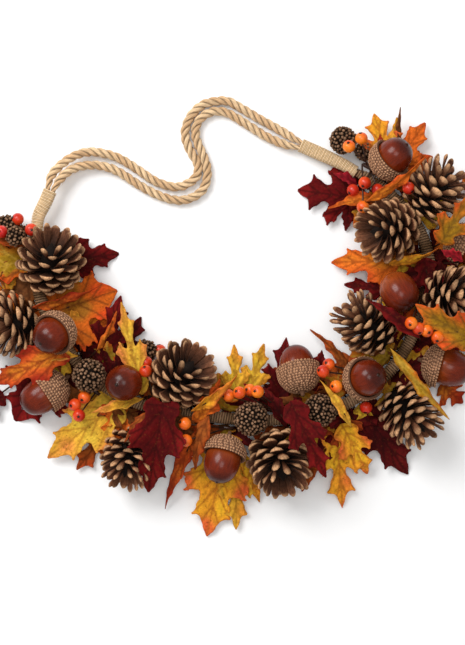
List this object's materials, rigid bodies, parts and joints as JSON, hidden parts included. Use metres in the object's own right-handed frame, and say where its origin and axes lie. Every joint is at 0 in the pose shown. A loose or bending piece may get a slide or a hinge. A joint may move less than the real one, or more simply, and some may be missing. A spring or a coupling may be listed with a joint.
{
  "type": "harvest door wreath",
  "caption": "U-shaped autumn wreath of cloth leaves, pine cones, acorns, seed pods and berries on a twine-wrapped core, with a doubled rope hanger.",
  "frame": {"origin": "middle of the wreath without its rope hanger, on the plane its back rests on", "axes": "+Z out of the wreath's front, away from the door or table behind it; +Y towards the rope hanger at the open side of the U; +X across"},
  "size_m": [0.5101, 0.4214, 0.074],
  "materials": {
    "acorn_cap": "scaly matt brown",
    "acorn_nut": "glossy chestnut-brown shell",
    "berry": "glossy orange to red, on dark wire",
    "core_wire": "dull drawn steel wire",
    "core_wrap": "grey-brown wound twine, matt",
    "leaves_bottom": "dyed cloth leaves, gold with orange tips, matt",
    "leaves_bottom_left": "dyed cloth leaves, wine red and gold, matt",
    "leaves_bottom_right": "dyed cloth leaves, wine red, matt",
    "leaves_left_low": "dyed cloth leaves, orange red and wine red, matt",
    "leaves_left_middle": "dyed cloth leaves, orange, gold and wine red, matt",
    "leaves_left_top": "dyed cloth leaves, olive gold and wine red, matt",
    "leaves_right_low": "dyed cloth leaves, gold, orange and wine red, matt",
    "leaves_right_middle": "dyed cloth leaves, wine red and orange, matt",
    "leaves_right_outer": "dyed cloth leaves, green gold and orange, matt",
    "leaves_right_top": "dyed cloth leaves, orange, gold and wine red, matt",
    "pine_cone": "dry woody scales, dark inside with pale tips",
    "rope": "three-strand jute rope, matt and hairy",
    "seed_pod": "knobbly dry grey-brown",
    "whipping": "fine tan twine wound tightly, matt"
  },
  "bodies": {
    "root": {"acorn_cap_1": "acorn_cap", "acorn_cap_10": "acorn_cap", "acorn_cap_2": "acorn_cap", "acorn_cap_4": "acorn_cap", "acorn_cap_5": "acorn_cap", "acorn_cap_6": "acorn_cap", "acorn_cap_8": "acorn_cap", "acorn_cap_9": "acorn_cap", "acorn_nut_1": "acorn_nut", "acorn_nut_10": "acorn_nut", "acorn_nut_2": "acorn_nut", "acorn_nut_3": "acorn_nut", "acorn_nut_4": "acorn_nut", "acorn_nut_5": "acorn_nut", "acorn_nut_6": "acorn_nut", "acorn_nut_7": "acorn_nut", "acorn_nut_8": "acorn_nut", "acorn_nut_9": "acorn_nut", "berries_1": "berry", "berries_2": "berry", "berries_3": "berry", "berries_4": "berry", "berries_5": "berry", "berries_6": "berry", "berries_7": "berry", "berries_8": "berry", "core_wire": "core_wire", "core_wrap": "core_wrap", "leaves_bottom": "leaves_bottom", "leaves_bottom_left": "leaves_bottom_left", "leaves_bottom_right": "leaves_bottom_right", "leaves_left_low": "leaves_left_low", "leaves_left_middle": "leaves_left_middle", "leaves_left_top": "leaves_left_top", "leaves_right_low": "leaves_right_low", "leaves_right_middle": "leaves_right_middle", "leaves_right_outer": "leaves_right_outer", "leaves_right_top": "leaves_right_top", "pine_cone_1": "pine_cone", "pine_cone_10": "pine_cone", "pine_cone_2": "pine_cone", "pine_cone_3": "pine_cone", "pine_cone_4": "pine_cone", "pine_cone_5": "pine_cone", "pine_cone_6": "pine_cone", "pine_cone_7": "pine_cone", "pine_cone_8": "pine_cone", "pine_cone_9": "pine_cone", "rope_inner": "rope", "rope_outer": "rope", "seed_pod_1": "seed_pod", "seed_pod_2": "seed_pod", "seed_pod_3": "seed_pod", "seed_pod_4": "seed_pod", "seed_pod_5": "seed_pod", "seed_pod_6": "seed_pod", "seed_pod_7": "seed_pod", "seed_pod_8": "seed_pod", "whipping_left": "whipping", "whipping_right": "whipping"}
  },
  "joints": []
}
